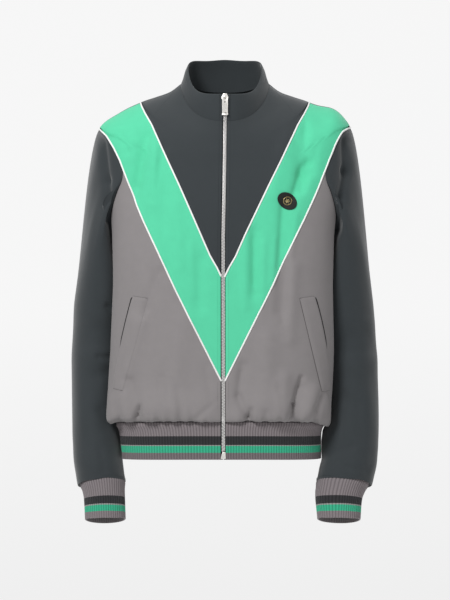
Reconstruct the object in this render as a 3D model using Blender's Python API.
"""A zip-up track jacket with ribbed hem and cuffs, hollow, in the pose it is worn in.

Metres, +Z up. The front faces -Y and the wearer's left is +X. The origin is the centre of the
neck opening, level with the shoulders.
"""

import bmesh
import bpy
import numpy as np
from mathutils import Matrix, Vector
from mathutils.bvhtree import BVHTree

CLOTH = 0.0016
RIB_CLOTH = 0.0024
COLLAR_CLOTH = 0.0022
SEAM_GAP = 0.0003
# How far each edge stands back from a slanting seam, as a share of the gap.
SLANT_INSET = 0.65
ARMHOLE_GAP = 0.00066
# How far the pointed ends of panels and cords stop short of the rings they run to.
TIP_GAP = 0.04
ZIP_EDGE = 0.0050
VIEW_DISTANCE = 4.0
VIEW_HEIGHT = -0.36

RING_SAMPLES = 361
NORMAL_STEP = 0.02
# The torso is pressed in beside the sleeves, more and more from PRESS_TOP down.
PRESS_SOFTNESS = 0.004
PRESS_TOP = -0.190
PRESS_FADE = 0.085
PRESS_FROM = 0.020
PRESS_BLEND = 0.050
SLEEVE_CLEARANCE = 0.004
UNDERARM_HEIGHT = -0.279
CLEARANCE_FADE = 0.040
BEYOND_SLEEVE = 0.020

HEM_RIBS = 200
CUFF_RIBS = 52
RIB_HEIGHT = 0.0009
RIB_POINTS_PER_INNER = 10

CHAIN_HALF_WIDTH = 0.0034
CHAIN_PROUD = 0.0004
CHAIN_DEPTH = 0.0024
CHAIN_TOP_RING = 2.85
CHAIN_LOW_RING = 1.69
TAPE_INNER = 0.0037
TAPE_OUTER = 0.0130
TAPE_DEPTH = 0.0037
TAPE_THICK = 0.0010

PULL_AXIS = (0.0, -0.0909, -0.0020)
PULL_HALF_WIDTH = 0.0055
PULL_LENGTH = 0.0335
PULL_THICK = 0.0016
PULL_WINDOW_HALF_WIDTH = 0.0026
PULL_WINDOW_DEPTH = 0.0042
PULL_RECESS_HALF_WIDTH = 0.0040
PULL_RECESS_DEPTH = 0.0004
PULL_RECESS_LOW = 0.0035
PULL_RECESS_TOP = 0.0030
PULL_HOLE_RADIUS = 0.0008
PULL_HOLE_SIDES = 12
PULL_HOLE_DOWN = 0.0095
SLIDER_HALF_WIDTH = 0.0060
SLIDER_TOP = 0.0036
SLIDER_BOTTOM = -0.0075
SLIDER_FRONT = -0.0893
SLIDER_PLATE = 0.0021
SLIDER_BACK = -0.0789
SLIDER_BACK_PLATE = 0.0014
SLIDER_NECK_HALF_WIDTH = 0.0020
SLIDER_NECK_BOTTOM = 0.0017
LOOP_HALF_WIDTH = 0.0013
LOOP_INNER = 0.0014
LOOP_OUTER = 0.0026
LOOP_POINTS = 9
STOP_HALF_WIDTH = 0.0044
STOP_TOP = -0.6250
STOP_BOTTOM = -0.6372
STOP_FRONT = -0.1228
STOP_BACK = -0.1193

PIPING_HALF_WIDTH = 0.0013
PIPING_LIFT = 0.0005
PIPING_HEIGHT = 0.0013
ARMHOLE_PIPING_SHIFT = 0.0018

WELT_LIFT = 0.0010
WELT_THICK = 0.0014

BADGE_HALF_WIDTH = 0.0190
BADGE_HALF_HEIGHT = 0.0142
BADGE_THICK = 0.0012
BADGE_LIFT = 0.0008
BADGE_CENTRE = (0.1119, -0.182)
BADGE_TURN = -0.61
BADGE_SIDES = 20
WELT_COLUMNS = 4
WELT_ROWS = 18
NORMAL_REACH = 0.006

# Rings from the neck seam down to the hem seam: half width, depth to the front and the back,
# roundness (2 is an ellipse, more is boxier), and the height at the centre front, a quarter
# forward, the side, a quarter back and the centre back.
TORSO_RINGS = (
    (0.080, 0.087, 0.062, 2.00, -0.045, -0.022, 0.027, 0.026, 0.022),  # neck seam
    (0.100, 0.093, 0.072, 2.05, -0.058, -0.038, 0.0125, 0.010, 0.005),
    (0.125, 0.098, 0.082, 2.10, -0.071, -0.052, 0.004, -0.006, -0.011),
    (0.152, 0.102, 0.090, 2.15, -0.084, -0.066, -0.005, -0.021, -0.028),  # upper piping
    (0.190, 0.107, 0.098, 2.20, -0.102, -0.087, -0.0235, -0.045, -0.054),
    (0.226, 0.112, 0.104, 2.30, -0.124, -0.111, -0.052, -0.075, -0.083),  # shoulder tip
    (0.226, 0.122, 0.114, 2.45, -0.162, -0.152, -0.105, -0.122, -0.127),
    (0.215, 0.131, 0.121, 2.60, -0.204, -0.197, -0.165, -0.177, -0.180),
    (0.206, 0.137, 0.125, 2.80, -0.250, -0.246, -0.225, -0.233, -0.234),
    (0.202, 0.140, 0.126, 3.00, -0.297, -0.294, -0.279, -0.286, -0.287),  # underarm
    (0.201, 0.140, 0.125, 3.00, -0.343, -0.341, -0.335, -0.338, -0.339),
    (0.201, 0.139, 0.124, 3.00, -0.392, -0.391, -0.390, -0.390, -0.390),
    (0.202, 0.137, 0.123, 3.00, -0.445, -0.445, -0.445, -0.445, -0.445),
    (0.203, 0.134, 0.122, 3.00, -0.497, -0.497, -0.497, -0.497, -0.497),
    (0.203, 0.132, 0.121, 3.00, -0.540, -0.540, -0.540, -0.540, -0.540),
    (0.203, 0.130, 0.120, 2.90, -0.565, -0.566, -0.570, -0.568, -0.567),
    (0.195, 0.1245, 0.118, 2.70, -0.574, -0.5755, -0.580, -0.578, -0.577),  # hem seam
)
LEFT_SHOULDER_RISE = 0.0110
LEFT_SHOULDER_PEAK = 0.199
LEFT_SHOULDER_SPREAD = 0.023
LEFT_SHOULDER_LOW = -0.130
LEFT_SHOULDER_FADE = 0.070
SHOULDER_PIPING_RING = 3.0
SHOULDER_TIP_RING = 5.0
UNDERARM_RING = 9.0
HEM_SEAM_RING = 16.0

# The collar's rings, in the same columns, from the neck seam up to its top edge.
COLLAR_RINGS = (
    (0.080, 0.087, 0.062, 2.00, -0.045, -0.022, 0.027, 0.026, 0.022),
    (0.0755, 0.0875, 0.061, 2.00, -0.030, -0.009, 0.038, 0.041, 0.040),
    (0.072, 0.087, 0.058, 2.00, -0.013, 0.003, 0.050, 0.058, 0.059),
    (0.067, 0.086, 0.052, 2.00, 0.0036, 0.0145, 0.061, 0.075, 0.078),
)

# The hem's rings, in the same columns, from its seam down to its bottom edge.
HEM_RINGS = (
    (0.194, 0.1240, 0.117, 2.70, -0.5747, -0.5762, -0.5807, -0.5787, -0.5777),
    (0.1845, 0.1225, 0.115, 2.60, -0.592, -0.593, -0.597, -0.595, -0.594),
    (0.1825, 0.1205, 0.114, 2.60, -0.639, -0.640, -0.6435, -0.642, -0.641),
)

# How far the whole garment hangs to one side of its zip's top: height, shift.
SWAY = (
    (-0.65, -0.0030),
    (-0.25, -0.0035),
    (-0.18, -0.0020),
    (-0.11, -0.0009),
    (0.00, 0.0),
)
# How much wider the wearer's right half hangs than the left: height, share of the width.
LOPSIDED = (
    (-0.64, 0.036),
    (-0.57, 0.046),
    (-0.52, 0.030),
    (-0.45, 0.010),
    (-0.30, 0.0),
)

# The arm's rings from the underarm to the cuff seam and on to the cuff's bottom edge: height
# of the centre, centre across and fore and aft, half width, half depth, and how far both
# sleeves hang to one side.
ARM_RINGS = (
    (-0.335, 0.2178, 0.012, 0.0480, 0.072, -0.0021),
    (-0.369, 0.2212, 0.015, 0.0490, 0.070, -0.0023),
    (-0.400, 0.2232, 0.017, 0.0492, 0.068, -0.0018),
    (-0.430, 0.2252, 0.018, 0.0490, 0.066, -0.0014),
    (-0.460, 0.2272, 0.016, 0.0482, 0.064, -0.0010),
    (-0.490, 0.2290, 0.012, 0.0470, 0.061, -0.0006),
    (-0.520, 0.2302, 0.006, 0.0458, 0.058, 0.0),
    (-0.550, 0.2310, -0.001, 0.0448, 0.056, 0.0006),
    (-0.580, 0.2314, -0.008, 0.0438, 0.054, 0.0009),
    (-0.610, 0.2308, -0.015, 0.0432, 0.052, 0.0009),
    (-0.645, 0.2272, -0.024, 0.0430, 0.050, 0.0009),
    (-0.668, 0.2228, -0.030, 0.0430, 0.048, 0.0),
    (-0.683, 0.2185, -0.034, 0.0425, 0.046, -0.0007),  # cuff seam
    (-0.697, 0.2145, -0.038, 0.0382, 0.0430, -0.0020),
    (-0.715, 0.2110, -0.043, 0.0366, 0.0415, -0.0035),
    (-0.749, 0.2085, -0.053, 0.0362, 0.0410, -0.0040),
)
CUFF_SEAM_RING = 12
CUFF_GAP = 0.01
SIDEWAYS_TILT = 0.35

# Seams and edges in the front view, as they are seen from VIEW_DISTANCE away at VIEW_HEIGHT:
# height, distance from the zip.
UPPER_SEAM = (
    (-0.322, 0.0),
    (-0.3145, 0.0048),
    (-0.302, 0.0108),
    (-0.281, 0.0230),
    (-0.238, 0.0419),
    (-0.194, 0.0621),
    (-0.151, 0.0819),
    (-0.108, 0.1026),
    (-0.065, 0.1224),
    (-0.043, 0.1323),
    (-0.022, 0.1449),
    (-0.007, 0.1520),
)
LOWER_SEAM = (
    (-0.512, 0.0),
    (-0.503, 0.0048),
    (-0.475, 0.0189),
    (-0.432, 0.0405),
    (-0.389, 0.0621),
    (-0.346, 0.0837),
    (-0.302, 0.1044),
    (-0.259, 0.1242),
    (-0.216, 0.1449),
    (-0.173, 0.1638),
    (-0.151, 0.1725),
    (-0.127, 0.1826),
    (-0.108, 0.1899),
    (-0.086, 0.2007),
    (-0.065, 0.2133),
    (-0.052, 0.2262),
)
JUNCTION_HEIGHT = -0.127
# The armhole's edge: ring, angle round the torso from the centre front of its front edge
# below the seam's junction with it, and from the centre back of its back edge, in degrees.
ARMHOLE = (
    (5.0, 90.0, 90.0),
    (5.3, 78.0, 77.0),
    (5.6, 69.5, 69.0),
    (6.0, 62.5, 64.0),
    (6.5, 64.5, 62.0),
    (7.0, 68.0, 64.0),
    (7.5, 72.0, 68.0),
    (8.0, 77.0, 74.0),
    (8.5, 83.0, 81.5),
    (9.0, 90.0, 90.0),
)

# Folds of the body: face, upper end (across, height), lower end, half width, height.
# Negative heights are troughs. On the front, places are as they show in the front view.
BODY_FOLDS = (
    ("front", 0.134, -0.040, 0.139, -0.130, 0.014, -0.0050),
    ("front", 0.139, -0.130, 0.120, -0.180, 0.012, -0.0045),
    ("front", 0.110, -0.070, 0.085, -0.170, 0.014, 0.0025),
    ("front", 0.108, -0.189, 0.099, -0.380, 0.011, -0.0042),
    ("front", 0.124, -0.300, 0.117, -0.430, 0.012, 0.0030),
    ("front", 0.054, -0.238, 0.053, -0.346, 0.011, -0.0038),
    ("front", 0.038, -0.230, 0.036, -0.370, 0.010, 0.0026),
    ("front", -0.144, -0.058, -0.165, -0.171, 0.012, -0.0038),
    ("front", -0.126, -0.086, -0.131, -0.185, 0.011, 0.0028),
    ("front", -0.047, -0.290, -0.046, -0.372, 0.013, -0.0028),
    ("front", -0.118, -0.310, -0.146, -0.386, 0.010, -0.0032),
    ("front", -0.158, -0.398, -0.184, -0.530, 0.018, 0.0060),
    ("front", -0.075, -0.400, -0.095, -0.550, 0.020, 0.0035),
    ("front", 0.031, -0.480, 0.022, -0.535, 0.011, -0.0050),
    ("front", 0.022, -0.535, 0.039, -0.580, 0.010, -0.0045),
    ("front", 0.077, -0.430, 0.074, -0.540, 0.018, 0.0040),
    ("front", 0.108, -0.500, 0.099, -0.567, 0.012, 0.0045),
    ("front", 0.137, -0.518, 0.118, -0.580, 0.009, -0.0045),
    ("front", 0.160, -0.520, 0.142, -0.567, 0.011, 0.0050),
    ("front", -0.170, -0.505, -0.160, -0.578, 0.008, -0.0048),
    ("back", -0.130, -0.120, -0.060, -0.330, 0.026, 0.0045),
    ("back", 0.140, -0.140, 0.075, -0.320, 0.024, 0.0050),
    ("back", -0.020, -0.330, 0.015, -0.540, 0.024, 0.0050),
    ("back", 0.110, -0.380, 0.090, -0.550, 0.020, 0.0055),
    ("back", -0.110, -0.400, -0.095, -0.555, 0.020, 0.0050),
    ("back", 0.165, -0.330, 0.150, -0.500, 0.018, -0.0045),
)
# Gathers where the body meets the hem: face, distance across, depth, length, half width.
GATHERS = (
    ("front", -0.189, 0.0045, 0.040, 0.0080),
    ("front", -0.154, 0.0060, 0.055, 0.0080),
    ("front", -0.120, 0.0040, 0.030, 0.0070),
    ("front", -0.102, 0.0035, 0.024, 0.0060),
    ("front", -0.081, 0.0035, 0.026, 0.0060),
    ("front", -0.061, 0.0030, 0.022, 0.0060),
    ("front", 0.043, 0.0045, 0.040, 0.0070),
    ("front", 0.072, 0.0030, 0.020, 0.0060),
    ("front", 0.098, 0.0030, 0.026, 0.0060),
    ("front", 0.126, 0.0045, 0.034, 0.0070),
    ("front", 0.160, 0.0040, 0.026, 0.0070),
    ("back", -0.172, 0.0045, 0.034, 0.0080),
    ("back", -0.142, 0.0040, 0.046, 0.0075),
    ("back", -0.112, 0.0050, 0.030, 0.0075),
    ("back", -0.078, 0.0035, 0.026, 0.0070),
    ("back", -0.045, 0.0045, 0.042, 0.0075),
    ("back", -0.012, 0.0035, 0.024, 0.0070),
    ("back", 0.022, 0.0045, 0.036, 0.0075),
    ("back", 0.058, 0.0040, 0.028, 0.0070),
    ("back", 0.090, 0.0045, 0.044, 0.0075),
    ("back", 0.124, 0.0035, 0.026, 0.0070),
    ("back", 0.156, 0.0045, 0.036, 0.0080),
)
BLOUSE_HEIGHT = 0.0080
BLOUSE_LEVEL = -0.552
BLOUSE_SPREAD = 0.028
ZIP_CALM = 0.022
FACE_BLEND = 0.030
# Heights where the relief fades out, below the neck and shoulders and at the hem's seam.
RELIEF_TOP = -0.040
RELIEF_TOP_FADE = 0.050
RELIEF_LOW = -0.578
RELIEF_LOW_FADE = 0.012
# Where the torso's side lies against the sleeve, and has no blouse.
SIDE_FROM = 0.100
SIDE_HALF_DEPTH = 0.045
SIDE_BLEND = 0.040

# Folds of the sleeves: side, height, angle round from the outer side towards the front in
# degrees, half length down, half width round in degrees, slant in degrees per metre, height.
SLEEVE_FOLDS = (
    (1, -0.150, 100.0, 0.070, 20.0, 0.0, -0.0060),
    (1, -0.250, 50.0, 0.060, 24.0, 120.0, 0.0045),
    (1, -0.430, 100.0, 0.024, 60.0, 300.0, -0.0040),
    (1, -0.470, 80.0, 0.020, 60.0, -300.0, 0.0035),
    (1, -0.560, 60.0, 0.060, 26.0, 150.0, 0.0030),
    (1, -0.655, 70.0, 0.018, 70.0, 0.0, 0.0035),
    (1, -0.330, 250.0, 0.060, 26.0, -140.0, 0.0040),
    (1, -0.520, 280.0, 0.070, 26.0, 120.0, 0.0035),
    (-1, -0.160, 105.0, 0.070, 20.0, 0.0, -0.0055),
    (-1, -0.240, 55.0, 0.060, 24.0, -110.0, 0.0045),
    (-1, -0.415, 95.0, 0.022, 60.0, -280.0, -0.0035),
    (-1, -0.460, 85.0, 0.022, 60.0, 260.0, 0.0035),
    (-1, -0.550, 65.0, 0.060, 26.0, -130.0, 0.0030),
    (-1, -0.650, 75.0, 0.018, 70.0, 0.0, 0.0035),
    (-1, -0.350, 260.0, 0.060, 26.0, 140.0, 0.0040),
    (-1, -0.540, 285.0, 0.070, 26.0, -120.0, 0.0035),
)

# How the sleeve leaves the armhole: its direction at the shoulder and how much more it leans
# out under the arm, and how full the curve from there down to the arm's first ring is.
CAP_OUTWARD = 0.90
CAP_DOWNWARD = 0.50
CAP_LEAN = 0.16
CAP_LOW_LEAN = 0.30
CAP_FULLNESS = 0.45
CAP_LOW_FULLNESS = 0.35
CAP_FINISH = 0.80
CAP_CALM = 0.030
INNER_SIDE_CALM = 50.0

# Pocket welts in the front view: side, then (across, height) of the outer top, inner top,
# inner bottom and outer bottom corners.
WELTS = (
    ("pocket_welt_left", 1, (0.161, -0.353), (0.134, -0.357), (0.174, -0.525), (0.1885, -0.5225)),
    ("pocket_welt_right", -1, (0.166, -0.353), (0.139, -0.357), (0.184, -0.523), (0.2015, -0.519)),
)

YOKE_COLUMNS = 7
BAND_COLUMNS = 6
LOWER_COLUMNS = 16
BACK_COLUMNS = 28
COLLAR_COLUMNS = 28
SLEEVE_CAP_STEPS = (0.0, 0.10, 0.24, 0.40, 0.58, 0.79)

# Material name: colour, roughness, metallic.
MATERIALS = {
    "charcoal_cloth": ((0.052, 0.058, 0.062), 0.80, 0.0),
    "green_cloth": ((0.105, 0.640, 0.370), 0.78, 0.0),
    "grey_cloth": ((0.250, 0.238, 0.238), 0.80, 0.0),
    "grey_rib": ((0.215, 0.190, 0.196), 0.88, 0.0),
    "white_piping": ((0.860, 0.860, 0.850), 0.60, 0.0),
    "zip_tape": ((0.035, 0.036, 0.038), 0.85, 0.0),
    "zip_metal": ((0.560, 0.550, 0.535), 0.32, 1.0),
    "badge_cloth": ((0.020, 0.022, 0.020), 0.70, 0.0),
}


def table_at(table, position):
    """The table's columns at a fractional row number, through its rows on a smooth curve."""
    rows = np.asarray(table, float)
    rows = np.vstack([2 * rows[0] - rows[1], rows, 2 * rows[-1] - rows[-2]])
    position = min(max(position, 0.0), len(rows) - 3.0)
    low = min(int(position), len(rows) - 4)
    t = position - low
    before, start, end, after = rows[low : low + 4]
    return 0.5 * (
        2 * start
        + (end - before) * t
        + (2 * before - 5 * start + 4 * end - after) * t**2
        + (3 * start - before - 3 * end + after) * t**3
    )


def column(table, key, value_column, at):
    """A column of a table read off by another, straight between rows."""
    rows = np.asarray(table, float)
    order = np.argsort(rows[:, key])
    return np.interp(at, rows[order, key], rows[order, value_column])


def round_height(levels, angle):
    """Smooth height round a half ring through its five stated heights."""
    front, front_quarter, side, back_quarter, back = levels
    even_end = (front + back) / 2
    even_quarter = (front_quarter + back_quarter) / 2
    odd_end = (front - back) / 2
    odd_quarter = (front_quarter - back_quarter) / (2 * np.cos(np.pi / 4))
    second = (even_end - side) / 2
    mean_and_fourth = (even_end + side) / 2
    mean = (mean_and_fourth + even_quarter) / 2
    fourth = (mean_and_fourth - even_quarter) / 2
    first = (odd_end + odd_quarter) / 2
    third = (odd_end - odd_quarter) / 2
    return (
        mean
        + first * np.cos(angle)
        + second * np.cos(2 * angle)
        + third * np.cos(3 * angle)
        + fourth * np.cos(4 * angle)
    )


def resampled(points, count):
    """The polyline with count points at even distances."""
    steps = np.linalg.norm(np.diff(points, axis=0), axis=1)
    along = np.concatenate([[0.0], np.cumsum(steps)])
    even = np.linspace(0.0, along[-1], count)
    return np.stack([np.interp(even, along, points[:, k]) for k in range(3)], axis=1)


def plain_ring(table, row):
    """Half a ring from centre front to centre back, x not negative, with nothing pressed in."""
    half_width, front, back, power, *levels = table_at(table, row)
    angle = np.linspace(0.0, np.pi, RING_SAMPLES)
    across, along = np.sin(angle), -np.cos(angle)
    depth = np.where(along < 0, front, back)
    reach = ((across / half_width) ** power + (np.abs(along) / depth) ** power) ** (-1 / power)
    height = round_height(levels, angle)
    return resampled(np.stack([reach * across, reach * along, height], axis=1), RING_SAMPLES)


def smoothstep(value):
    value = np.clip(value, 0.0, 1.0)
    return value * value * (3 - 2 * value)


def sleeve_limit(y, z, side):
    """How far out the torso may reach at a height without meeting the sleeve."""
    centre_x = column(ARM_RINGS, 0, 1, z) + side * column(ARM_RINGS, 0, 5, z)
    centre_y = column(ARM_RINGS, 0, 2, z)
    clearance = SLEEVE_CLEARANCE * smoothstep((UNDERARM_HEIGHT - z) / CLEARANCE_FADE)
    half_x = column(ARM_RINGS, 0, 3, z) + clearance
    half_y = column(ARM_RINGS, 0, 4, z) + SLEEVE_CLEARANCE
    inside = np.clip(1 - ((y - centre_y) / half_y) ** 2, 0.0, 1.0)
    return centre_x - half_x * np.sqrt(inside) + BEYOND_SLEEVE * (inside <= 0)


def posed(points, side):
    """Plain half-ring points as they hang: lopsided, pressed in by the sleeve, and swayed."""
    x, y, z = points[..., 0], points[..., 1], points[..., 2]
    sway = column(SWAY, 0, 1, z)
    x = x * (1 - side * column(LOPSIDED, 0, 1, z))
    over = x - (sleeve_limit(y, z, side) - side * sway)
    pressed = PRESS_SOFTNESS * np.log1p(np.exp(np.clip(over / PRESS_SOFTNESS, -40, 40)))
    beside_sleeve = smoothstep((PRESS_TOP - z) / PRESS_FADE)
    x = x - pressed * beside_sleeve * smoothstep((x - PRESS_FROM) / PRESS_BLEND)
    if side > 0:
        from_peak = (x - LEFT_SHOULDER_PEAK) / LEFT_SHOULDER_SPREAD
        above = smoothstep((z - LEFT_SHOULDER_LOW) / LEFT_SHOULDER_FADE)
        z = z + LEFT_SHOULDER_RISE * np.exp(-(from_peak**2)) * above
    return np.stack([side * x + sway, y, z], axis=-1)


def as_seen(points):
    """Where points show in the front view, as (across, height)."""
    nearer = 1 + points[..., 1] / VIEW_DISTANCE
    across = points[..., 0] / nearer
    height = VIEW_HEIGHT + (points[..., 2] - VIEW_HEIGHT) / nearer
    return across, height


def folds_at(points, folds):
    """How far a list of folds lifts points of the torso."""
    lift = np.zeros(points.shape[:-1])
    for face, upper_x, upper_z, lower_x, lower_z, half_width, height in folds:
        across, level, on_face = on_the_face(points, face)
        run_x, run_z = lower_x - upper_x, lower_z - upper_z
        run = ((across - upper_x) * run_x + (level - upper_z) * run_z) / (run_x**2 + run_z**2)
        run = np.clip(run, 0.0, 1.0)
        away = np.hypot(across - upper_x - run * run_x, level - upper_z - run * run_z)
        lift += height * on_face * np.exp(-((away / half_width) ** 2))
    return lift


def on_the_face(points, face):
    """Where points lie in the view of a face (across, height), and how far they are on it."""
    if face == "front":
        return *as_seen(points), smoothstep(-points[..., 1] / FACE_BLEND)
    return points[..., 0], points[..., 2], smoothstep(points[..., 1] / FACE_BLEND)


def gathers_at(points, gathers):
    """How far a list of gathers draws in points of the torso above the hem's seam."""
    lift = np.zeros(points.shape[:-1])
    for face, place, depth, length, half_width in gathers:
        across, _, on_face = on_the_face(points, face)
        up = np.clip((points[..., 2] - TORSO_RINGS[-1][4]) / length, 0.0, None)
        lift -= depth * on_face * np.exp(-(((across - place) / half_width) ** 2) - up**2)
    return lift


def body_relief(points):
    """How far folds, gathers and the blouse lift the cloth of the torso at these points."""
    x, y, z = points[..., 0], points[..., 1], points[..., 2]
    beside_sleeve = 1 - smoothstep((np.abs(y) - SIDE_HALF_DEPTH) / SIDE_BLEND)
    blouse = BLOUSE_HEIGHT * np.exp(-(((z - BLOUSE_LEVEL) / BLOUSE_SPREAD) ** 2))
    lift = blouse * (1 - beside_sleeve * (np.abs(x) > SIDE_FROM))
    lift = lift + folds_at(points, BODY_FOLDS) + gathers_at(points, GATHERS)
    front_calm = 1 - np.exp(-((x / ZIP_CALM) ** 2))
    lift = lift * np.where(y < 0, front_calm, 1.0)
    below_neck = smoothstep((RELIEF_TOP - z) / RELIEF_TOP_FADE)
    return lift * below_neck * smoothstep((z - RELIEF_LOW) / RELIEF_LOW_FADE)


def surface(table, rows, fractions, side, relief=None):
    """Outer points and unit normals at fractions of the half girth, for each row."""
    last = len(table) - 1
    points, normals = [], []
    places = np.linspace(0.0, 1.0, RING_SAMPLES)
    for row, along in zip(rows, fractions):
        here = posed(plain_ring(table, row), side)
        above = posed(plain_ring(table, max(row - NORMAL_STEP, 0.0)), side)
        below = posed(plain_ring(table, min(row + NORMAL_STEP, last)), side)
        girth = np.gradient(here, axis=0)
        normal = np.cross(girth, below - above)
        normal *= -np.sign(normal[0, 1]) / np.linalg.norm(normal, axis=1, keepdims=True)
        if relief is not None:
            here = here + normal * relief(here)[:, None]
        points.append([[np.interp(f, places, here[:, k]) for k in range(3)] for f in along])
        normals.append([[np.interp(f, places, normal[:, k]) for k in range(3)] for f in along])
    points, normals = np.array(points), np.array(normals)
    return points, normals / np.linalg.norm(normals, axis=-1, keepdims=True)


def ring_length(table, row):
    ring = plain_ring(table, row)
    return np.linalg.norm(np.diff(ring, axis=0), axis=1).sum()


def fraction_where(ring, reached):
    """The first fraction of the half girth at which a rising quantity reaches zero, or 1."""
    places = np.linspace(0.0, 1.0, len(ring))
    above = np.nonzero(reached >= 0)[0]
    if len(above) == 0:
        return 1.0
    first = above[0]
    if first == 0:
        return 0.0
    low, high = reached[first - 1], reached[first]
    return places[first - 1] + (places[first] - places[first - 1]) * low / (low - high)


def seam_fraction(row, seam):
    """Where a front-view seam crosses a ring of the torso."""
    ring = plain_ring(TORSO_RINGS, row)
    across, height = as_seen(ring)
    return fraction_where(ring, across - column(seam, 0, 1, height))


def angle_fraction(row, degrees):
    """Where a ring of the torso stands at an angle round from the centre front."""
    ring = plain_ring(TORSO_RINGS, row)
    angle = np.degrees(np.arctan2(ring[:, 0], -ring[:, 1]))
    return fraction_where(ring, angle - degrees)


def zip_fraction(table, row, distance=ZIP_EDGE):
    ring = plain_ring(table, row)
    return fraction_where(ring, ring[:, 0] - distance)


def armhole_front(row):
    if row <= SHOULDER_TIP_RING or row >= UNDERARM_RING:
        return angle_fraction(row, 90.0)
    if row <= SEAM_JUNCTION:
        return min(seam_fraction(row, LOWER_SEAM), angle_fraction(row, 90.0))
    blend = (row - SEAM_JUNCTION) / 0.5
    below = angle_fraction(row, column(ARMHOLE, 0, 1, row))
    above = angle_fraction(row, JUNCTION_ANGLE)
    return below + (above - below) * (1 - smoothstep(blend))


def armhole_back(row):
    if row < SHOULDER_TIP_RING or row > UNDERARM_RING:
        return angle_fraction(row, 90.0)
    return angle_fraction(row, 180.0 - column(ARMHOLE, 0, 2, row))


def crossing_row(low, high, difference):
    """The row between two rows at which a difference that starts positive reaches zero."""
    for _ in range(30):
        middle = (low + high) / 2
        if difference(middle) > 0:
            low = middle
        else:
            high = middle
    return (low + high) / 2


UPPER_TIP = crossing_row(
    7.0, 12.0, lambda row: seam_fraction(row, UPPER_SEAM) - zip_fraction(TORSO_RINGS, row)
)
LOWER_TIP = crossing_row(
    10.0, 15.0, lambda row: seam_fraction(row, LOWER_SEAM) - zip_fraction(TORSO_RINGS, row)
)


def seam_height(row, seam):
    """How high a front-view seam shows where it crosses a ring."""
    ring = plain_ring(TORSO_RINGS, row)
    return np.interp(seam_fraction(row, seam), np.linspace(0, 1, len(ring)), as_seen(ring)[1])


def seam_angle(row, seam):
    ring = plain_ring(TORSO_RINGS, row)
    angle = np.degrees(np.arctan2(ring[:, 0], -ring[:, 1]))
    return np.interp(seam_fraction(row, seam), np.linspace(0, 1, len(ring)), angle)


SEAM_JUNCTION = crossing_row(
    5.2, 7.0, lambda row: seam_height(row, LOWER_SEAM) - JUNCTION_HEIGHT
)
JUNCTION_ANGLE = seam_angle(SEAM_JUNCTION, LOWER_SEAM)
SHOULDER_ROWS = [0.010, 1, 2, SHOULDER_PIPING_RING, 3.2, 3.45, 3.7, 4, 4.5]
ARMHOLE_ROWS = [5.0, 5.3, 5.6, SEAM_JUNCTION, 6.5, 7.0, 7.5, 8.0, 8.5, 9.0]
BODY_ROWS = [UPPER_TIP, 10, 11, 12, LOWER_TIP, 14, 15, 15.5, HEM_SEAM_RING]
TORSO_ROWS = [float(row) for row in SHOULDER_ROWS + ARMHOLE_ROWS + BODY_ROWS]


def spread(starts, ends, columns):
    return [np.linspace(a, max(a, b), columns + 1) for a, b in zip(starts, ends)]


def inset(row, gap=SEAM_GAP):
    """Half a seam gap as a fraction of the half girth, a little more for slanting seams."""
    return SLANT_INSET * gap / ring_length(TORSO_RINGS, row)


def new_object(name, vertices, faces, material, smooth=True):
    """An object from points and faces, its doubled points joined and its faces outward."""
    shape = bmesh.new()
    corners = [shape.verts.new(v) for v in vertices]
    for face in faces:
        shape.faces.new([corners[i] for i in face])
    bmesh.ops.remove_doubles(shape, verts=shape.verts, dist=1e-6)
    bmesh.ops.recalc_face_normals(shape, faces=shape.faces)
    if shape.calc_volume(signed=True) < 0:
        bmesh.ops.reverse_faces(shape, faces=shape.faces)
    mesh = bpy.data.meshes.new(name)
    shape.to_mesh(mesh)
    shape.free()
    mesh.materials.append(material)
    if smooth:
        mesh.shade_smooth()
        mesh.set_sharp_from_angle(angle=np.radians(35))
    thing = bpy.data.objects.new(name, mesh)
    bpy.context.scene.collection.objects.link(thing)
    return thing


def grid_faces(rows, columns, start=0, closed=False):
    faces = []
    for i in range(rows - 1):
        for j in range(columns if closed else columns - 1):
            k = (j + 1) % columns
            a, b = start + i * columns + j, start + i * columns + k
            faces.append((a, b, b + columns, a + columns))
    return faces


def wall(name, outer, inner, material, closed=False):
    """A closed wall between two grids of points, open or closed round its columns."""
    rows, columns = outer.shape[:2]
    count = rows * columns
    faces = grid_faces(rows, columns, 0, closed)
    faces += [face[::-1] for face in grid_faces(rows, columns, count, closed)]
    turns = columns if closed else columns - 1
    for first in (0, (rows - 1) * columns):
        for j in range(turns):
            a, b = first + j, first + (j + 1) % columns
            faces.append((a, b, count + b, count + a))
    if not closed:
        for first in (0, columns - 1):
            for i in range(rows - 1):
                a = first + i * columns
                faces.append((a, a + columns, count + a + columns, count + a))
    vertices = np.concatenate([outer.reshape(-1, 3), inner.reshape(-1, 3)])
    return new_object(name, vertices, faces, material)


def level_lowest(normals, rows=slice(-1, None)):
    """Normals turned level in some rows, so that the wall ends squarely there."""
    normals = normals.copy()
    normals[rows, ..., 2] = 0.0
    return normals / np.linalg.norm(normals, axis=-1, keepdims=True)


def torso_panel(name, rows, fractions, side, material):
    points, normals = surface(TORSO_RINGS, rows, fractions, side, body_relief)
    if rows[-1] == HEM_SEAM_RING:
        normals = level_lowest(normals)
    return wall(name, points, points - CLOTH * normals, material)


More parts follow.
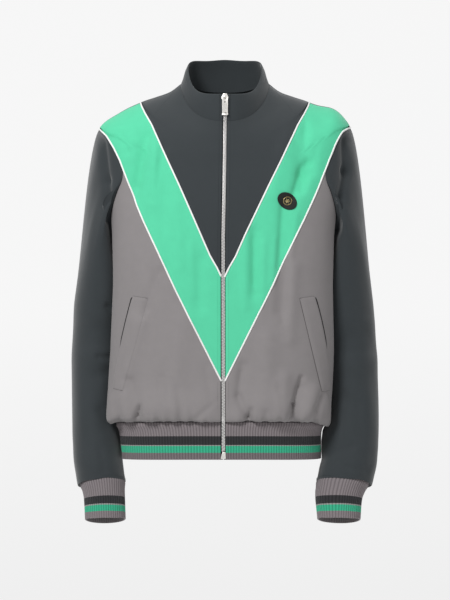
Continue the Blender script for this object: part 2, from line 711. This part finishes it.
def front_panels(word, side, cloth):
    """The yoke, the slanting band and the lower front of one side."""
    rows = [r for r in TORSO_ROWS if r < UPPER_TIP] + [UPPER_TIP - TIP_GAP]
    starts = [zip_fraction(TORSO_RINGS, r) for r in rows]
    ends = []
    for r in rows:
        seam = seam_fraction(r, UPPER_SEAM) if r > SHOULDER_PIPING_RING else 1.0
        ends.append(min(seam, angle_fraction(r, 90.0)) - inset(r))
    torso_panel(
        f"front_yoke_{word}", rows, spread(starts, ends, YOKE_COLUMNS), side, cloth["charcoal_cloth"]
    )

    rows = [SHOULDER_PIPING_RING + TIP_GAP]
    rows += [r for r in TORSO_ROWS if SHOULDER_PIPING_RING < r < LOWER_TIP]
    rows += [LOWER_TIP - TIP_GAP]
    starts, ends = [], []
    for r in rows:
        edge = zip_fraction(TORSO_RINGS, r)
        starts.append(max(edge, seam_fraction(r, UPPER_SEAM) + inset(r)))
        outer = armhole_front(r) if r <= SEAM_JUNCTION else seam_fraction(r, LOWER_SEAM)
        ends.append(outer - inset(r))
    torso_panel(
        f"front_band_{word}", rows, spread(starts, ends, BAND_COLUMNS), side, cloth["green_cloth"]
    )

    rows = [SEAM_JUNCTION + TIP_GAP] + [r for r in TORSO_ROWS if r > SEAM_JUNCTION]
    starts = [
        max(zip_fraction(TORSO_RINGS, r), seam_fraction(r, LOWER_SEAM) + inset(r)) for r in rows
    ]
    ends = [armhole_front(r) - inset(r) for r in rows]
    torso_panel(
        f"front_lower_{word}", rows, spread(starts, ends, LOWER_COLUMNS), side, cloth["grey_cloth"]
    )


def back_panel(cloth):
    half = BACK_COLUMNS // 2
    starts = [armhole_back(r) + inset(r) for r in TORSO_ROWS]
    fractions = spread(starts, [1.0] * len(TORSO_ROWS), half)
    left, left_normals = surface(TORSO_RINGS, TORSO_ROWS, fractions, 1, body_relief)
    right, right_normals = surface(TORSO_RINGS, TORSO_ROWS, fractions, -1, body_relief)
    points = np.concatenate([left, right[:, -2::-1]], axis=1)
    normals = np.concatenate([left_normals, right_normals[:, -2::-1]], axis=1)
    normals = level_lowest(normals)
    wall("back", points, points - CLOTH * normals, cloth["charcoal_cloth"])


def whole_ring(table, rows, columns, edge, relief=None):
    """Points and normals right round from one edge of the zip to the other."""
    half = columns // 2
    starts = [zip_fraction(table, r, edge) for r in rows]
    fractions = spread(starts, [1.0] * len(rows), half)
    left, left_normals = surface(table, rows, fractions, 1, relief)
    right, right_normals = surface(table, rows, fractions, -1, relief)
    points = np.concatenate([left, right[:, -2::-1]], axis=1)
    normals = np.concatenate([left_normals, right_normals[:, -2::-1]], axis=1)
    return points, normals


def collar(cloth):
    rows = [0.026, 0.75, 1.5, 2.25, 3.0]
    points, normals = whole_ring(COLLAR_RINGS, rows, COLLAR_COLUMNS, ZIP_EDGE)
    wall("collar", points, points - COLLAR_CLOTH * normals, cloth["charcoal_cloth"])


def rib_rim(outer_start, outer_count, inner_start, inner_count, closed):
    """Faces that join a ribbed row of points to the coarser row inside it."""
    faces = []
    middle = RIB_POINTS_PER_INNER // 2
    for k in range(inner_count if closed else inner_count - 1):
        near, far = inner_start + k, inner_start + (k + 1) % inner_count
        first = k * RIB_POINTS_PER_INNER
        ring = [outer_start + (first + i) % outer_count for i in range(RIB_POINTS_PER_INNER + 1)]
        faces += [(near, ring[i], ring[i + 1]) for i in range(middle)]
        faces.append((near, ring[middle], far))
        faces += [(far, ring[i], ring[i + 1]) for i in range(middle, RIB_POINTS_PER_INNER)]
    return faces


def ribbed_wall(name, points, normals, material, closed):
    """A wall whose outer points rise in ribs and whose inside is plain and coarser."""
    rows, count = points.shape[:2]
    dip = RIB_HEIGHT * ((np.arange(count) + 1) % 2)
    outer = points - dip[None, :, None] * normals
    picked = np.arange(0, count, RIB_POINTS_PER_INNER)
    inner = points[:, picked] - RIB_CLOTH * normals[:, picked]
    inner_count = len(picked)
    inside = rows * count
    faces = grid_faces(rows, count, 0, closed)
    faces += [face[::-1] for face in grid_faces(rows, inner_count, inside, closed)]
    for row in (0, rows - 1):
        faces += rib_rim(row * count, count, inside + row * inner_count, inner_count, closed)
    if not closed:
        for end, inner_end in ((0, 0), (count - 1, inner_count - 1)):
            for i in range(rows - 1):
                a, b = i * count + end, inside + i * inner_count + inner_end
                faces.append((a, a + count, b + inner_count, b))
    vertices = np.concatenate([outer.reshape(-1, 3), inner.reshape(-1, 3)])
    return new_object(name, vertices, faces, material)


def hem(cloth):
    points, normals = whole_ring(HEM_RINGS, [0.0, 1.0, 2.0], 2 * HEM_RIBS, ZIP_EDGE)
    normals = level_lowest(normals, slice(None))
    ribbed_wall("hem_rib", points, normals, cloth["grey_rib"], closed=False)


def tube_ring(row, side, turns):
    """One ring of a sleeve or cuff, square to its run, at turns of a full circle.

    It starts on the outer side and goes round by the front.
    """
    height, across, along, half_width, half_depth, hang = table_at(ARM_RINGS, row)
    ahead = table_at(ARM_RINGS, row + 0.1)
    behind = table_at(ARM_RINGS, row - 0.1)
    run = np.array(
        [(ahead[1] - behind[1]) * SIDEWAYS_TILT, ahead[2] - behind[2], ahead[0] - behind[0]]
    )
    run /= np.linalg.norm(run)
    wide = np.array([1.0, 0.0, 0.0]) - run[0] * run
    wide /= np.linalg.norm(wide)
    deep = np.cross(run, wide)
    angle = 2 * np.pi * np.asarray(turns)
    reach_x, reach_y = half_width * np.cos(angle), half_depth * np.sin(angle)
    points = np.array([across, along, height]) + np.outer(reach_x, wide) + np.outer(reach_y, deep)
    outward = np.outer(np.cos(angle) / half_width, wide) + np.outer(np.sin(angle) / half_depth, deep)
    outward /= np.linalg.norm(outward, axis=1, keepdims=True)
    points[:, 0] = side * points[:, 0] + hang
    outward[:, 0] *= side
    return points, outward


def sleeve_relief(height, degrees, side, folds=SLEEVE_FOLDS):
    """How far folds lift a sleeve, by height and by degrees round from its outer side."""
    lift = np.zeros(np.broadcast(height, degrees).shape)
    for fold_side, level, turn, half_down, half_round, slant, rise in folds:
        if fold_side == side:
            centre = turn + slant * (height - level)
            around = (degrees - centre + 180.0) % 360.0 - 180.0
            lift += rise * np.exp(-((around / half_round) ** 2) - ((height - level) / half_down) ** 2)
    inner_side = np.exp(-(((degrees - 180.0) / INNER_SIDE_CALM) ** 2))
    return lift * (1 - inner_side)


def armhole_loop(side):
    """Points, torso normals and outward-leading directions round the armhole.

    It starts at the shoulder tip and goes down the front, under the arm and up the back.
    """
    rows = ARMHOLE_ROWS
    front = [[armhole_front(r)] for r in rows]
    back = [[armhole_back(r)] for r in rows]
    front_points, front_normals = surface(TORSO_RINGS, rows, front, side, body_relief)
    back_points, back_normals = surface(TORSO_RINGS, rows, back, side, body_relief)
    points = np.concatenate([front_points[:, 0], back_points[-2:0:-1, 0]])
    normals = np.concatenate([front_normals[:, 0], back_normals[-2:0:-1, 0]])
    along = np.roll(points, -1, axis=0) - np.roll(points, 1, axis=0)
    leading = np.cross(along, normals)
    leading /= np.linalg.norm(leading, axis=1, keepdims=True)
    centre = points.mean(axis=0)
    leading *= np.sign(np.sum(leading * (centre - points), axis=1, keepdims=True))
    return points, normals, leading


def sleeve(word, side, cloth):
    points, normals, leading = armhole_loop(side)
    count = len(points)
    turns = np.arange(count) / count
    low = np.sin(np.pi * turns) ** 2
    start = leading * (CAP_OUTWARD * (1 - low))[:, None]
    start[:, 2] -= CAP_DOWNWARD * (1 + low)
    lean = np.sum(start * normals, axis=1)
    start += normals * np.clip(CAP_LEAN + CAP_LOW_LEAN * low - lean, 0.0, None)[:, None]
    start /= np.linalg.norm(start, axis=1, keepdims=True)
    first, _ = tube_ring(0.0, side, turns)
    second, _ = tube_ring(0.5, side, turns)
    finish = second - first
    finish /= np.linalg.norm(finish, axis=1, keepdims=True)
    reach = np.linalg.norm(first - points, axis=1, keepdims=True)
    begin = points + start * ARMHOLE_GAP
    fullness = CAP_FULLNESS + CAP_LOW_FULLNESS * low[:, None]
    rings = []
    for t in SLEEVE_CAP_STEPS:
        rings.append(
            (2 * t**3 - 3 * t**2 + 1) * begin
            + (t**3 - 2 * t**2 + t) * reach * fullness * start
            + (3 * t**2 - 2 * t**3) * first
            + (t**3 - t**2) * reach * CAP_FINISH * finish
        )
    for row in [*range(CUFF_SEAM_RING), CUFF_SEAM_RING - CUFF_GAP]:
        rings.append(tube_ring(row, side, turns)[0])
    outer = np.array(rings)
    round_way = np.roll(outer, -1, axis=1) - np.roll(outer, 1, axis=1)
    down_way = np.gradient(outer, axis=0)
    outward = np.cross(round_way, down_way)
    outward /= np.linalg.norm(outward, axis=2, keepdims=True)
    middle = outer.mean(axis=1, keepdims=True)
    outward *= np.sign(np.sum(outward * (outer - middle), axis=2, keepdims=True)[-1, 0])
    from_armhole = np.linalg.norm(outer - outer[:1], axis=2)
    lift = sleeve_relief(outer[..., 2], 360.0 * turns, side) * smoothstep(from_armhole / CAP_CALM)
    outer = outer + outward * lift[..., None]
    wall(f"sleeve_{word}", outer, outer - CLOTH * outward, cloth["charcoal_cloth"], closed=True)


def cuff(word, side, cloth):
    count = 2 * CUFF_RIBS - (2 * CUFF_RIBS) % RIB_POINTS_PER_INNER
    turns = np.arange(count) / count
    rows = [CUFF_SEAM_RING + CUFF_GAP, *range(CUFF_SEAM_RING + 1, len(ARM_RINGS))]
    rings = [tube_ring(row, side, turns) for row in rows]
    points = np.array([ring[0] for ring in rings])
    normals = np.array([ring[1] for ring in rings])
    ribbed_wall(f"cuff_{word}", points, normals, cloth["grey_rib"], closed=True)


def strip(name, points, normals, material, half_width, low, high):
    """A narrow strip that follows points on a surface, between two heights above it."""
    along = np.gradient(points, axis=0)
    sideways = np.cross(normals, along)
    sideways /= np.linalg.norm(sideways, axis=1, keepdims=True)
    edges = np.stack([points - half_width * sideways, points + half_width * sideways], axis=1)
    lift = normals[:, None]
    return wall(name, edges + high * lift, edges + low * lift, material)


def piping(word, side, cloth):
    rows = [SHOULDER_PIPING_RING + TIP_GAP]
    rows += [r for r in TORSO_ROWS if SHOULDER_PIPING_RING < r < UPPER_TIP] + [UPPER_TIP - TIP_GAP]
    fractions = [[seam_fraction(r, UPPER_SEAM)] for r in rows]
    points, normals = surface(TORSO_RINGS, rows, fractions, side, body_relief)
    low, high = PIPING_LIFT, PIPING_LIFT + PIPING_HEIGHT
    strip(
        f"piping_upper_{word}", points[:, 0], normals[:, 0], cloth["white_piping"],
        PIPING_HALF_WIDTH, low, high,
    )
    rows = [SHOULDER_TIP_RING + TIP_GAP]
    rows += [r for r in TORSO_ROWS if SHOULDER_TIP_RING < r < LOWER_TIP] + [LOWER_TIP - TIP_GAP]
    fractions = []
    for r in rows:
        shift = ARMHOLE_PIPING_SHIFT * smoothstep((SEAM_JUNCTION + 0.5 - r) / 0.5)
        place = armhole_front(r) if r <= SEAM_JUNCTION else seam_fraction(r, LOWER_SEAM)
        fractions.append([place - shift / ring_length(TORSO_RINGS, r)])
    points, normals = surface(TORSO_RINGS, rows, fractions, side, body_relief)
    strip(
        f"piping_lower_{word}", points[:, 0], normals[:, 0], cloth["white_piping"],
        PIPING_HALF_WIDTH, low, high,
    )


def facets_of(panel):
    """A search tree over the triangles of a panel."""
    panel.data.calc_loop_triangles()
    return BVHTree.FromPolygons(
        [vertex.co for vertex in panel.data.vertices],
        [triangle.vertices for triangle in panel.data.loop_triangles],
    )


def front_place(facets, across, height):
    """The point and normal of a panel that show at a place in the front view."""
    eye = Vector((0.0, -VIEW_DISTANCE, VIEW_HEIGHT))
    normal = Vector((0.0, 0.0, 0.0))
    found = None
    for aside, up in ((0, 0), (1, 0), (-1, 0), (0, 1), (0, -1)):
        target = Vector((across + aside * NORMAL_REACH, 0.0, height + up * NORMAL_REACH))
        place, facing, _, _ = facets.ray_cast(eye, (target - eye).normalized())
        if place is None:
            continue
        found = found or place
        normal += facing
    return np.array(found), np.array(normal.normalized())


def welt(name, side, corners, panel, material):
    """A pocket's welt, made of its panel's points, moved out."""
    top_outer, top_inner, low_inner, low_outer = [np.array(c) for c in corners]
    facets = facets_of(panel)
    outer, inner = [], []
    for down in np.linspace(0.0, 1.0, WELT_ROWS + 1):
        edge_in = top_inner + (low_inner - top_inner) * down
        edge_out = top_outer + (low_outer - top_outer) * down
        found = []
        for over in np.linspace(0.0, 1.0, WELT_COLUMNS + 1):
            across, height = edge_in + (edge_out - edge_in) * over
            found.append(front_place(facets, side * across, height))
        inner.append([p + WELT_LIFT * n for p, n in found])
        outer.append([p + (WELT_LIFT + WELT_THICK) * n for p, n in found])
    wall(name, np.array(outer), np.array(inner), material)


def badge(panel, cloth):
    """An oval patch on the left band, made of its panel's points, moved out."""
    facets = facets_of(panel)
    outer, inner = [], []
    for radius in (1.0, 0.66, 0.33):
        for k in range(BADGE_SIDES):
            angle = 2 * np.pi * k / BADGE_SIDES
            x = BADGE_HALF_WIDTH * radius * np.cos(angle)
            z = BADGE_HALF_HEIGHT * radius * np.sin(angle)
            turned_x = x * np.cos(BADGE_TURN) - z * np.sin(BADGE_TURN)
            turned_z = x * np.sin(BADGE_TURN) + z * np.cos(BADGE_TURN)
            place, normal = front_place(
                facets, BADGE_CENTRE[0] + turned_x, BADGE_CENTRE[1] + turned_z
            )
            outer.append(place + (BADGE_LIFT + BADGE_THICK) * normal)
            inner.append(place + BADGE_LIFT * normal)
    centre, normal = front_place(facets, *BADGE_CENTRE)
    outer.append(centre + (BADGE_LIFT + BADGE_THICK) * normal)
    inner.append(centre + BADGE_LIFT * normal)
    count = len(outer)
    faces = []
    for offset, turn in ((0, 1), (count, -1)):
        faces += [face[::turn] for face in grid_faces(3, BADGE_SIDES, offset, closed=True)]
        last = offset + 2 * BADGE_SIDES
        for k in range(BADGE_SIDES):
            faces.append((last + k, last + (k + 1) % BADGE_SIDES, offset + count - 1)[::turn])
    for k in range(BADGE_SIDES):
        n = (k + 1) % BADGE_SIDES
        faces.append((k, n, count + n, count + k))
    new_object("badge", np.array(outer + inner), faces, cloth["badge_cloth"])


def zip_run(distance, side, top, low):
    """Points and normals down the front at a distance from the zip, over all three walls."""
    stations = (
        (COLLAR_RINGS, [top, 2.0, 1.0]),
        (TORSO_RINGS, [0.0, 1, 2, 3, 4, 5, 6, 7, 8, 9, 10, 11, 12, 13, 14, 15, 15.6]),
        (HEM_RINGS, [0.15, 1.0, low]),
    )
    points, normals = [], []
    for table, rows in stations:
        fractions = [[zip_fraction(table, r, distance)] for r in rows]
        relief = body_relief if table is TORSO_RINGS else None
        found, facing = surface(table, rows, fractions, side, relief)
        points.append(found[:, 0])
        normals.append(facing[:, 0])
    return np.concatenate(points), np.concatenate(normals)


def zip_strip(name, edges, ends, high, low, material):
    """A strip down the front between two distances from the zip's centre."""
    runs = [zip_run(distance, side, *ends) for distance, side in edges]
    points = np.stack([run[0] for run in runs], axis=1)
    normals = np.stack([run[1] for run in runs], axis=1)
    return wall(name, points + high * normals, points + low * normals, material)


def block(name, x, y, z, material):
    """A box between two values along each axis."""
    vertices = [(a, b, c) for a in x for b in y for c in z]
    faces = (
        (0, 1, 3, 2), (4, 6, 7, 5), (0, 4, 5, 1), (2, 3, 7, 6), (0, 2, 6, 4), (1, 5, 7, 3),
    )
    return new_object(name, vertices, faces, material, smooth=False)


def combined(thing, helper, operation):
    """Joins a helper to an object, or cuts it out, and hides the helper."""
    modifier = thing.modifiers.new(helper.name, "BOOLEAN")
    modifier.operation = operation
    modifier.object = helper
    helper.hide_render = True
    helper.display_type = "WIRE"


def slider(cloth):
    """Two plates round the zip's chain, joined above it, with the loop that holds the pull."""
    metal = cloth["zip_metal"]
    wide = (-SLIDER_HALF_WIDTH, SLIDER_HALF_WIDTH)
    tall = (SLIDER_BOTTOM, SLIDER_TOP)
    body = block("zip_slider", wide, (SLIDER_FRONT, SLIDER_FRONT + SLIDER_PLATE), tall, metal)
    behind = block(
        "slider_back_plate", wide, (SLIDER_BACK - SLIDER_BACK_PLATE, SLIDER_BACK), tall, metal
    )
    neck = block(
        "slider_neck",
        (-SLIDER_NECK_HALF_WIDTH, SLIDER_NECK_HALF_WIDTH),
        (SLIDER_FRONT + SLIDER_PLATE / 2, SLIDER_BACK - SLIDER_BACK_PLATE / 2),
        (SLIDER_NECK_BOTTOM, SLIDER_TOP - SLIDER_PLATE / 4),
        metal,
    )
    _, axis_y, axis_z = PULL_AXIS
    profile = [(SLIDER_FRONT + SLIDER_PLATE / 2, axis_z + LOOP_OUTER)]
    inside = [(SLIDER_FRONT + SLIDER_PLATE / 2, axis_z + LOOP_INNER)]
    for turn in np.linspace(0.0, np.pi, LOOP_POINTS):
        profile.append((axis_y - LOOP_OUTER * np.sin(turn), axis_z + LOOP_OUTER * np.cos(turn)))
        inside.append((axis_y - LOOP_INNER * np.sin(turn), axis_z + LOOP_INNER * np.cos(turn)))
    profile.append((SLIDER_FRONT + SLIDER_PLATE / 2, axis_z - LOOP_OUTER))
    inside.append((SLIDER_FRONT + SLIDER_PLATE / 2, axis_z - LOOP_INNER))
    outer = [[(x, y, z) for x in (-LOOP_HALF_WIDTH, LOOP_HALF_WIDTH)] for y, z in profile]
    inner = [[(x, y, z) for x in (-LOOP_HALF_WIDTH, LOOP_HALF_WIDTH)] for y, z in inside]
    loop = wall("slider_loop", np.array(outer), np.array(inner), metal)
    for helper in (behind, neck, loop):
        combined(body, helper, "UNION")
    return body


def pull_tab(cloth):
    """The flat tab that hangs from the slider's loop, its origin on the axis it swings about."""
    metal = cloth["zip_metal"]
    half = PULL_THICK / 2
    bar = half
    plate = block(
        "zip_pull",
        (-PULL_HALF_WIDTH, PULL_HALF_WIDTH),
        (-half, half),
        (bar - PULL_LENGTH, bar),
        metal,
    )
    window = block(
        "pull_window",
        (-PULL_WINDOW_HALF_WIDTH, PULL_WINDOW_HALF_WIDTH),
        (-PULL_THICK, PULL_THICK),
        (-bar - PULL_WINDOW_DEPTH, -bar),
        metal,
    )
    recess = block(
        "pull_recess",
        (-PULL_RECESS_HALF_WIDTH, PULL_RECESS_HALF_WIDTH),
        (-PULL_THICK, -half + PULL_RECESS_DEPTH),
        (bar - PULL_LENGTH + PULL_RECESS_LOW, -PULL_HOLE_DOWN - PULL_RECESS_TOP),
        metal,
    )
    turned = Matrix.Translation((0.0, 0.0, -PULL_HOLE_DOWN)) @ Matrix.Rotation(np.pi / 2, 4, "X")
    shape = bmesh.new()
    bmesh.ops.create_cone(
        shape,
        cap_ends=True,
        segments=PULL_HOLE_SIDES,
        radius1=PULL_HOLE_RADIUS,
        radius2=PULL_HOLE_RADIUS,
        depth=3 * PULL_THICK,
        matrix=turned,
    )
    mesh = bpy.data.meshes.new("pull_hole")
    shape.to_mesh(mesh)
    shape.free()
    hole = bpy.data.objects.new("pull_hole", mesh)
    bpy.context.scene.collection.objects.link(hole)
    for helper in (window, recess, hole):
        helper.parent = plate
        combined(plate, helper, "DIFFERENCE")
    plate.location = PULL_AXIS


def bottom_stop(cloth):
    sway = float(column(SWAY, 0, 1, STOP_TOP))
    block(
        "zip_bottom_stop",
        (sway - STOP_HALF_WIDTH, sway + STOP_HALF_WIDTH),
        (STOP_FRONT, STOP_BACK),
        (STOP_BOTTOM, STOP_TOP),
        cloth["zip_metal"],
    )


def main():
    for thing in list(bpy.data.objects):
        bpy.data.objects.remove(thing, do_unlink=True)
    cloth = {}
    for name, (colour, roughness, metallic) in MATERIALS.items():
        cloth[name] = bpy.data.materials.new(name)
        cloth[name].use_nodes = True
        shader = cloth[name].node_tree.nodes["Principled BSDF"]
        shader.inputs["Base Color"].default_value = (*colour, 1.0)
        shader.inputs["Roughness"].default_value = roughness
        shader.inputs["Metallic"].default_value = metallic
    for word, side in (("left", 1), ("right", -1)):
        front_panels(word, side, cloth)
        sleeve(word, side, cloth)
        cuff(word, side, cloth)
        piping(word, side, cloth)
        zip_strip(
            f"zip_tape_{word}", ((TAPE_INNER, side), (TAPE_OUTER, side)), (3.0, 2.0),
            -TAPE_DEPTH, -TAPE_DEPTH - TAPE_THICK, cloth["zip_tape"],
        )
    back_panel(cloth)
    collar(cloth)
    hem(cloth)
    for name, side, *corners in WELTS:
        panel = bpy.data.objects["front_lower_left" if side > 0 else "front_lower_right"]
        welt(name, side, corners, panel, cloth["grey_cloth"])
    badge(bpy.data.objects["front_band_left"], cloth)
    slider(cloth)
    pull_tab(cloth)
    bottom_stop(cloth)
    zip_strip(
        "zip_chain", ((CHAIN_HALF_WIDTH, -1), (CHAIN_HALF_WIDTH, 1)),
        (CHAIN_TOP_RING, CHAIN_LOW_RING),
        CHAIN_PROUD, CHAIN_PROUD - CHAIN_DEPTH, cloth["zip_metal"],
    )


main()
